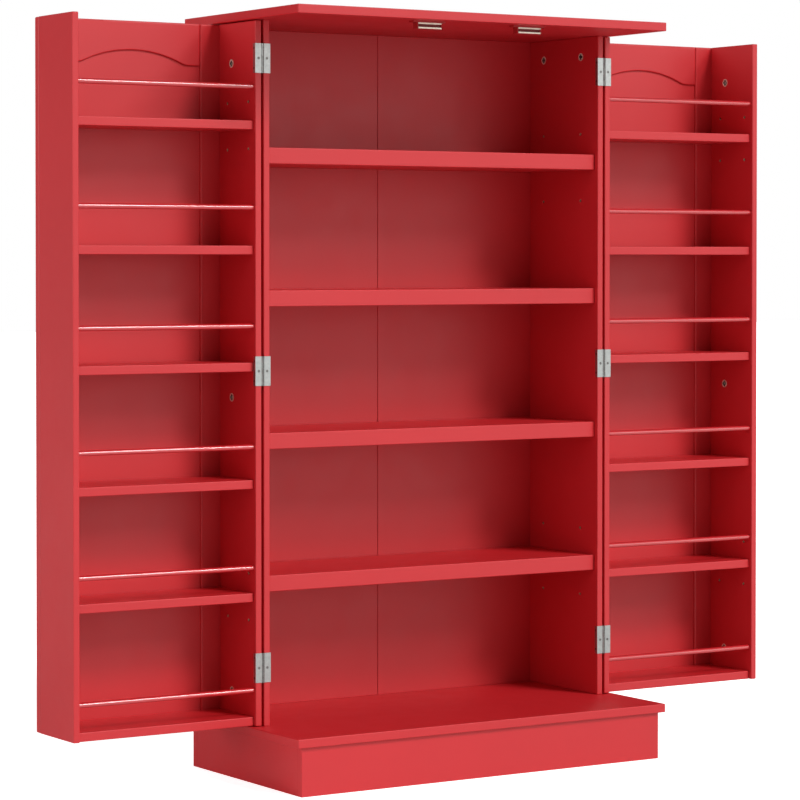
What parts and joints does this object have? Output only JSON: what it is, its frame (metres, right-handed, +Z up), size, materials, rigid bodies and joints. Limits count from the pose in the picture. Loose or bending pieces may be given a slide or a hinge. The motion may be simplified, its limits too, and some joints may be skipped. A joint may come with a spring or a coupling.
{
  "type": "pantry cabinet",
  "caption": "Tall free-standing pantry cabinet: shelved carcass on a plinth, with two box doors that hinge open and carry their own shelves and guard rods.",
  "frame": {"origin": "on the floor under the middle of the cabinet's box, doors open", "axes": "+X to the right across the front, +Y to the back, +Z up; the shelves open towards -Y"},
  "size_m": [1.504, 0.411, 1.38],
  "materials": {
    "red_paint": "satin red paint on board",
    "red_metal": "glossy red paint on steel",
    "bare_wood": "unpainted",
    "zinc_steel": "zinc plated",
    "hinge_steel": "nickel plated, satin",
    "nickel": "satin nickel",
    "catch_plastic": "moulded red plastic",
    "magnet": "sintered"
  },
  "bodies": {
    "carcass": {"top_panel": "red_paint", "base_panel": "red_paint", "plinth_front": "red_paint", "plinth_back": "red_paint", "plinth_sides": "red_paint", "plinth_corner_blocks": "bare_wood", "side_left": "red_paint", "side_right": "red_paint", "back_left": "red_paint", "back_right": "red_paint", "back_joint_strip": "red_paint", "shelf_1": "red_paint", "shelf_2": "red_paint", "shelf_3": "red_paint", "shelf_4": "red_paint", "shelf_pegs": "zinc_steel", "shelf_dowels": "bare_wood", "carcass_cam_locks": "zinc_steel", "carcass_cam_bolts": "zinc_steel", "base_screws": "zinc_steel", "catch_housings": "catch_plastic", "catch_pole_plates": "zinc_steel", "catch_magnets": "magnet", "carcass_hinge_leaves": "hinge_steel", "hinge_pins": "hinge_steel", "carcass_screws": "hinge_steel"},
    "left_door": {"left_door_hinge_side": "red_paint", "left_door_free_side": "red_paint", "left_door_stiles": "red_paint", "left_door_top_rail": "red_paint", "left_door_strike_plate": "red_metal", "left_door_bottom_rail": "red_paint", "left_door_panel": "red_paint", "left_door_loose_shelves": "red_paint", "left_door_fixed_shelves": "red_paint", "left_door_rods": "red_metal", "left_door_shelf_pegs": "zinc_steel", "left_door_shelf_dowels": "bare_wood", "left_door_cam_locks": "zinc_steel", "left_door_cam_bolts": "zinc_steel", "left_door_hinge_leaves": "hinge_steel", "left_door_hinge_screws": "hinge_steel", "left_door_knob": "nickel"},
    "right_door": {"right_door_hinge_side": "red_paint", "right_door_free_side": "red_paint", "right_door_stiles": "red_paint", "right_door_top_rail": "red_paint", "right_door_strike_plate": "red_metal", "right_door_bottom_rail": "red_paint", "right_door_panel": "red_paint", "right_door_loose_shelves": "red_paint", "right_door_fixed_shelves": "red_paint", "right_door_rods": "red_metal", "right_door_shelf_pegs": "zinc_steel", "right_door_shelf_dowels": "bare_wood", "right_door_cam_locks": "zinc_steel", "right_door_cam_bolts": "zinc_steel", "right_door_hinge_leaves": "hinge_steel", "right_door_hinge_screws": "hinge_steel", "right_door_knob": "nickel"}
  },
  "joints": [
    {"name": "left_door_hinge", "type": "hinge", "parent": "carcass", "child": "left_door", "pos_m": [-0.3765, -0.0425, 0.737], "axis": [0, 0, 1], "range_deg": [0, 180]},
    {"name": "right_door_hinge", "type": "hinge", "parent": "carcass", "child": "right_door", "pos_m": [0.3765, -0.0425, 0.737], "axis": [0, 0, -1], "range_deg": [0, 180]}
  ]
}
